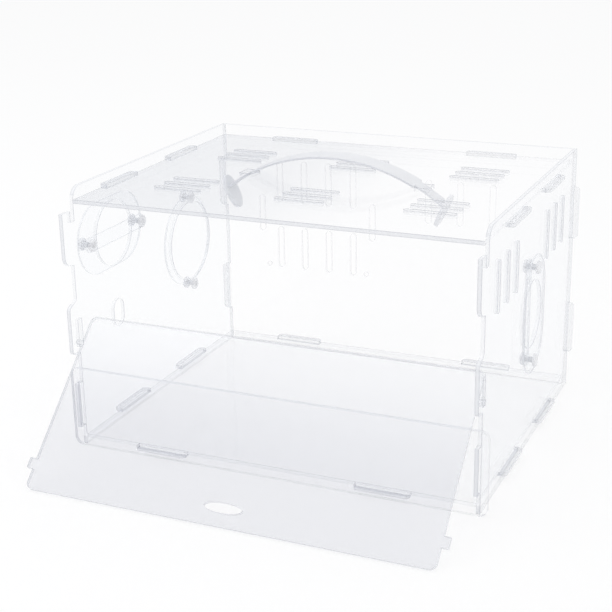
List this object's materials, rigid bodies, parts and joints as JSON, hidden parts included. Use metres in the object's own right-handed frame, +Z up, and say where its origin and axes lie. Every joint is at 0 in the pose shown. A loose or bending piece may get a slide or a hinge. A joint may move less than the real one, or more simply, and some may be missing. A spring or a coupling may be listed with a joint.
{
  "type": "acrylic hamster cage",
  "caption": "Clear acrylic hamster cage of slotted sheets, with air slots, tunnel ports closed by thumbscrewed covers, a lift-off front door and a strap handle on top.",
  "frame": {"origin": "bottom centre of the whole outline, with the door open on the table", "axes": "+X across the front to the right as seen from the front, +Y from the front to the back, +Z up"},
  "size_m": [0.317, 0.329, 0.2044],
  "materials": {
    "clear_sheet": "clear polished acrylic sheet with laser-cut edges",
    "clear_plate": "thin clear acrylic plate",
    "thumbscrew": "clear moulded plastic with a fluted rim",
    "strap": "translucent soft plastic with a bluish grey tint"
  },
  "bodies": {
    "cage": {"left_side_panel": "clear_sheet", "right_side_panel": "clear_sheet", "back_panel": "clear_sheet", "top_panel": "clear_sheet", "floor_panel": "clear_sheet", "front_guard": "clear_sheet", "rear_port_lower_nut": "thumbscrew", "rear_port_upper_nut": "thumbscrew"},
    "door": {"front_door": "clear_sheet"},
    "handle": {"carry_handle": "strap"},
    "front_port_cover": {"front_port_cover": "clear_plate"},
    "front_port_bar": {"front_port_bar": "clear_plate", "front_port_near_nut": "thumbscrew", "front_port_far_nut": "thumbscrew"},
    "front_port_near_screw": {"front_port_near_screw": "thumbscrew"},
    "front_port_far_screw": {"front_port_far_screw": "thumbscrew"},
    "rear_port_cover": {"rear_port_cover": "clear_plate"},
    "rear_port_lower_screw": {"rear_port_lower_screw": "thumbscrew"},
    "rear_port_upper_screw": {"rear_port_upper_screw": "thumbscrew"},
    "right_port_cover": {"right_port_cover": "clear_plate"},
    "right_port_bar": {"right_port_bar": "clear_plate", "right_port_lower_nut": "thumbscrew", "right_port_upper_nut": "thumbscrew"},
    "right_port_lower_screw": {"right_port_lower_screw": "thumbscrew"},
    "right_port_upper_screw": {"right_port_upper_screw": "thumbscrew"}
  },
  "joints": [
    {"name": "door_swing", "type": "hinge", "parent": "cage", "child": "door", "pos_m": [0, -0.08004, 0.07949], "axis": [-1, 0, 0], "range_deg": [0, 124]},
    {"name": "handle_rise", "type": "slide", "parent": "cage", "child": "handle", "axis": [0, 0, 1], "range_m": [0, 0.001]},
    {"name": "front_port_cover_off", "type": "slide", "parent": "cage", "child": "front_port_cover", "axis": [-1, 0, 0], "range_m": [0, 0.012]},
    {"name": "front_port_bar_off", "type": "slide", "parent": "cage", "child": "front_port_bar", "axis": [1, 0, 0], "range_m": [0, 0.012]},
    {"name": "front_port_near_screw_turn", "type": "hinge", "parent": "front_port_cover", "child": "front_port_near_screw", "pos_m": [-0.1545, -0.06114, 0.1485], "axis": [-1, 0, 0], "continuous": true},
    {"name": "front_port_far_screw_turn", "type": "hinge", "parent": "front_port_cover", "child": "front_port_far_screw", "pos_m": [-0.1545, 0.00886, 0.1485], "axis": [-1, 0, 0], "continuous": true},
    {"name": "rear_port_cover_off", "type": "slide", "parent": "cage", "child": "rear_port_cover", "axis": [-1, 0, 0], "range_m": [0, 0.012]},
    {"name": "rear_port_lower_screw_turn", "type": "hinge", "parent": "rear_port_cover", "child": "rear_port_lower_screw", "pos_m": [-0.1545, 0.09086, 0.0728], "axis": [-1, 0, 0], "continuous": true},
    {"name": "rear_port_upper_screw_turn", "type": "hinge", "parent": "rear_port_cover", "child": "rear_port_upper_screw", "pos_m": [-0.1545, 0.09086, 0.1472], "axis": [-1, 0, 0], "continuous": true},
    {"name": "right_port_cover_off", "type": "slide", "parent": "cage", "child": "right_port_cover", "axis": [1, 0, 0], "range_m": [0, 0.012]},
    {"name": "right_port_bar_off", "type": "slide", "parent": "cage", "child": "right_port_bar", "axis": [-1, 0, 0], "range_m": [0, 0.012]},
    {"name": "right_port_lower_screw_turn", "type": "hinge", "parent": "right_port_cover", "child": "right_port_lower_screw", "pos_m": [0.1545, 0.03886, 0.0656], "axis": [1, 0, 0], "continuous": true},
    {"name": "right_port_upper_screw_turn", "type": "hinge", "parent": "right_port_cover", "child": "right_port_upper_screw", "pos_m": [0.1545, 0.03886, 0.1356], "axis": [1, 0, 0], "continuous": true}
  ]
}
